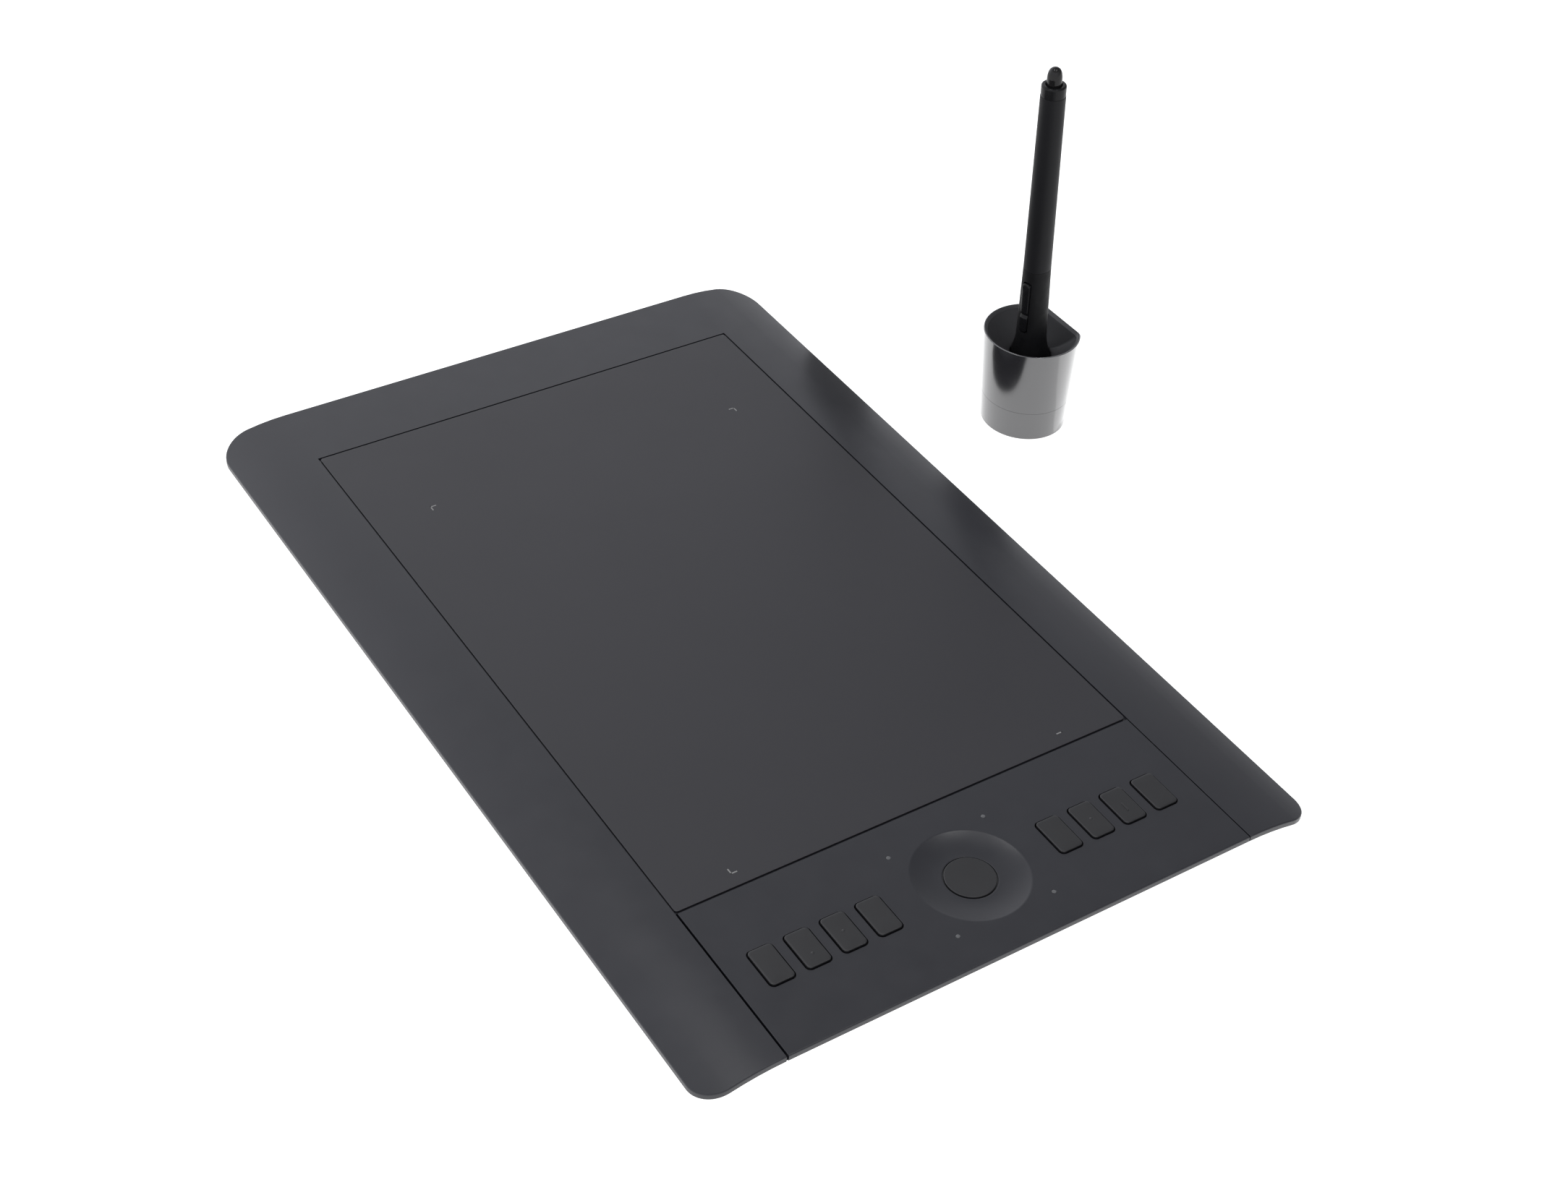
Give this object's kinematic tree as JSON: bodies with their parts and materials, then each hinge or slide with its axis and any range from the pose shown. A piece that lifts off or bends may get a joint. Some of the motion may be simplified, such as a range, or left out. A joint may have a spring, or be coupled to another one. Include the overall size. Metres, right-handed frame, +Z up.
{
  "type": "pen drawing tablet",
  "caption": "Flat pen drawing tablet with a large matt drawing area, a row of shortcut keys round a touch ring, and a battery-free pen standing in a round weighted stand.",
  "frame": {"origin": "on the desk under the middle of the tablet, in the face of its middle foot", "axes": "+Z up, +X along the tablet's length away from the shortcut keys, the pen stand beside it at -Y"},
  "size_m": [0.3798, 0.3248, 0.1652],
  "materials": {
    "soft_touch": "soft-touch matt dark grey",
    "sheet": "fine satin texture",
    "shell_plastic": "moulded, fine spark texture",
    "key_plastic": "satin",
    "switch_plastic": "plain",
    "circuit_board": "solder mask",
    "chip_plastic": "matt",
    "light_pipe": "frosted",
    "led_body": "clear",
    "bare_steel": "plain",
    "dark_steel": "black zinc",
    "ribbon": "amber film",
    "battery_wrap": "satin wrap",
    "foot_rubber": "matt",
    "pen_plastic": "soft-touch matt",
    "nib_plastic": "plain",
    "grip_rubber": "matt silicone",
    "gloss_black": "polished",
    "eraser_plastic": "matt",
    "copper_coil": "enamelled copper wire",
    "liner_plastic": "matt black"
  },
  "bodies": {
    "tablet": {"battery": "battery_wrap", "bezel_frame": "soft_touch", "board_chips": "chip_plastic", "bottom_shell": "shell_plastic", "case_screws": "dark_steel", "drawing_surface": "sheet", "key_board": "circuit_board", "key_switches": "switch_plastic", "keys_panel": "soft_touch", "leds": "led_body", "light_pipes": "light_pipe", "main_board": "circuit_board", "power_switch": "switch_plastic", "ribbon_cable": "ribbon", "ring_switch": "switch_plastic", "ring_touch_board": "circuit_board", "rubber_feet": "foot_rubber", "sensor_board": "circuit_board", "shield_plate": "bare_steel", "usb_socket": "bare_steel", "wireless_module": "chip_plastic"},
    "shortcut_key_1": {"shortcut_key_1": "key_plastic"},
    "shortcut_key_2": {"shortcut_key_2": "key_plastic"},
    "shortcut_key_3": {"shortcut_key_3": "key_plastic"},
    "shortcut_key_4": {"shortcut_key_4": "key_plastic"},
    "shortcut_key_5": {"shortcut_key_5": "key_plastic"},
    "shortcut_key_6": {"shortcut_key_6": "key_plastic"},
    "shortcut_key_7": {"shortcut_key_7": "key_plastic"},
    "shortcut_key_8": {"shortcut_key_8": "key_plastic"},
    "ring_button": {"ring_button": "key_plastic"},
    "power_button": {"power_button": "key_plastic"},
    "battery_cover": {"battery_cover": "shell_plastic"},
    "module_cover": {"module_cover": "shell_plastic"},
    "stand_base": {"stand_base": "gloss_black", "stand_foot": "foot_rubber", "stand_weight": "bare_steel", "nib_tray": "liner_plastic", "spare_nibs": "nib_plastic", "nib_ring": "bare_steel"},
    "stand_cup": {"stand_cup": "gloss_black", "stand_liner": "liner_plastic"},
    "pen": {"pen_grip": "grip_rubber", "pen_barrel": "pen_plastic", "pen_nose": "pen_plastic", "pen_collar": "gloss_black", "pen_coil": "copper_coil", "pressure_sensor": "chip_plastic", "pen_board": "circuit_board"},
    "nib": {"nib": "nib_plastic"},
    "eraser": {"eraser": "eraser_plastic"},
    "side_switch": {"side_switch": "gloss_black"}
  },
  "joints": [
    {"name": "key_1_press", "type": "slide", "parent": "tablet", "child": "shortcut_key_1", "axis": [0, 0, -1], "range_m": [0, 0.0006], "stiffness_N_per_m": 900, "springref_m": -0.0004},
    {"name": "key_2_press", "type": "slide", "parent": "tablet", "child": "shortcut_key_2", "axis": [0, 0, -1], "range_m": [0, 0.0006], "stiffness_N_per_m": 900, "springref_m": -0.0004},
    {"name": "key_3_press", "type": "slide", "parent": "tablet", "child": "shortcut_key_3", "axis": [0, 0, -1], "range_m": [0, 0.0006], "stiffness_N_per_m": 900, "springref_m": -0.0004},
    {"name": "key_4_press", "type": "slide", "parent": "tablet", "child": "shortcut_key_4", "axis": [0, 0, -1], "range_m": [0, 0.0006], "stiffness_N_per_m": 900, "springref_m": -0.0004},
    {"name": "key_5_press", "type": "slide", "parent": "tablet", "child": "shortcut_key_5", "axis": [0, 0, -1], "range_m": [0, 0.0006], "stiffness_N_per_m": 900, "springref_m": -0.0004},
    {"name": "key_6_press", "type": "slide", "parent": "tablet", "child": "shortcut_key_6", "axis": [0, 0, -1], "range_m": [0, 0.0006], "stiffness_N_per_m": 900, "springref_m": -0.0004},
    {"name": "key_7_press", "type": "slide", "parent": "tablet", "child": "shortcut_key_7", "axis": [0, 0, -1], "range_m": [0, 0.0006], "stiffness_N_per_m": 900, "springref_m": -0.0004},
    {"name": "key_8_press", "type": "slide", "parent": "tablet", "child": "shortcut_key_8", "axis": [0, 0, -1], "range_m": [0, 0.0006], "stiffness_N_per_m": 900, "springref_m": -0.0004},
    {"name": "ring_button_press", "type": "slide", "parent": "tablet", "child": "ring_button", "axis": [0, 0, -1], "range_m": [0, 0.0005], "stiffness_N_per_m": 900, "springref_m": -0.0004},
    {"name": "power_button_press", "type": "slide", "parent": "tablet", "child": "power_button", "axis": [-1, 0, 0], "range_m": [0, 0.0006], "stiffness_N_per_m": 900, "springref_m": -0.0004},
    {"name": "battery_cover_slide", "type": "slide", "parent": "tablet", "child": "battery_cover", "axis": [0, 1, 0], "range_m": [0, 0.012]},
    {"name": "module_cover_slide", "type": "slide", "parent": "tablet", "child": "module_cover", "axis": [0, 1, 0], "range_m": [0, 0.012]},
    {"name": "stand_lift", "type": "slide", "parent": "tablet", "child": "stand_base", "axis": [0, 0, 1], "range_m": [0, 0.05]},
    {"name": "stand_twist", "type": "hinge", "parent": "stand_base", "child": "stand_cup", "pos_m": [0.05685, -0.1836, 0.0145], "axis": [0, 0, 1], "range_deg": [0, 30]},
    {"name": "pen_lift", "type": "slide", "parent": "stand_cup", "child": "pen", "axis": [0.0279, 0.0391, 0.9988], "range_m": [0, 0.06]},
    {"name": "nib_press", "type": "slide", "parent": "pen", "child": "nib", "axis": [0.0279, 0.0391, 0.9988], "range_m": [0, 0.0008], "stiffness_N_per_m": 1200, "springref_m": -0.0004},
    {"name": "eraser_press", "type": "slide", "parent": "pen", "child": "eraser", "axis": [-0.0279, -0.0391, -0.9988], "range_m": [0, 0.001], "stiffness_N_per_m": 900, "springref_m": -0.0004},
    {"name": "side_switch_rock", "type": "hinge", "parent": "pen", "child": "side_switch", "pos_m": [0.05618, -0.17749, 0.055], "axis": [-0.9698, -0.2412, 0.0365], "range_deg": [-2, 2], "stiffness_Nm_per_rad": 0.6}
  ]
}
